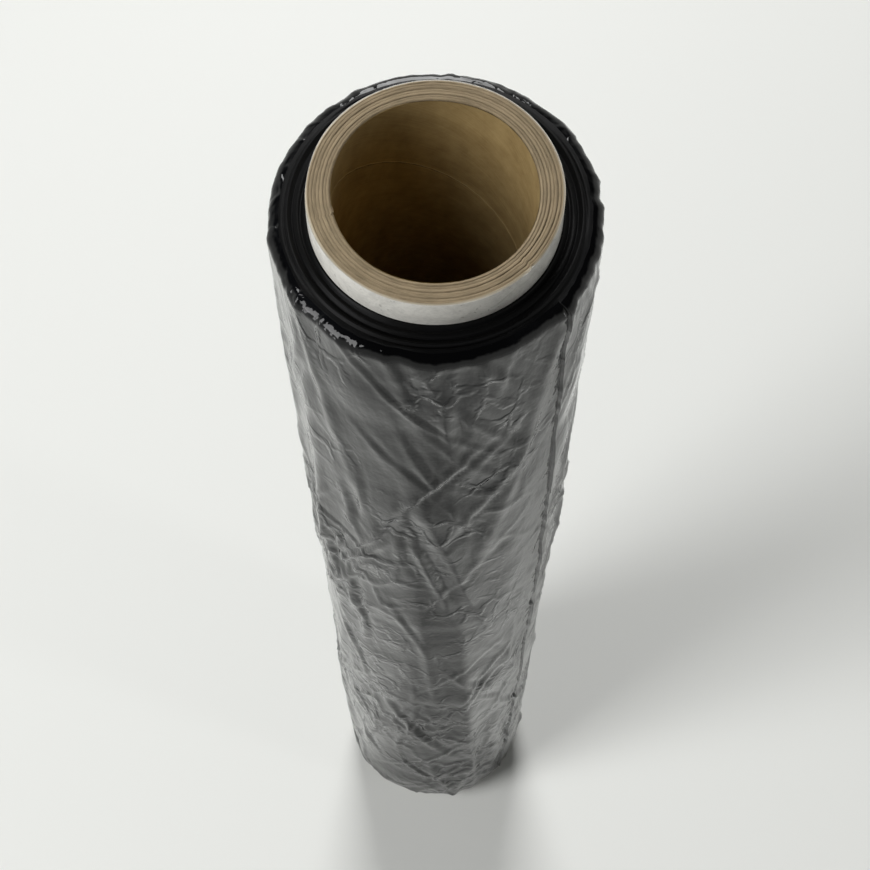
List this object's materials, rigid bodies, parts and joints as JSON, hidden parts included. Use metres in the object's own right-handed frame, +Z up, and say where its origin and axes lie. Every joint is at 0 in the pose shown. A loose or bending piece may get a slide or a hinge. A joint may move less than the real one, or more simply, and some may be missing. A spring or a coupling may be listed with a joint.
{
  "type": "stretch wrap roll",
  "caption": "Hand roll of black stretch wrap on a cardboard core that stands out past the film at both ends, standing on end.",
  "frame": {"origin": "centre of the core's lower rim, on the roll's axis, where the roll stands", "axes": "+Z up along the roll's axis; the picture's view of the roll's near end is seen from -Y and above"},
  "size_m": [0.0849, 0.0841, 0.519],
  "materials": {
    "core_board": "spiral-wound grey-brown board, cut ends bare, outside with a pale grey liner",
    "black_film": "glossy black polyethylene stretch film, tightly wound"
  },
  "bodies": {
    "root": {"cardboard_core": "core_board", "film_winding": "black_film"}
  },
  "joints": []
}
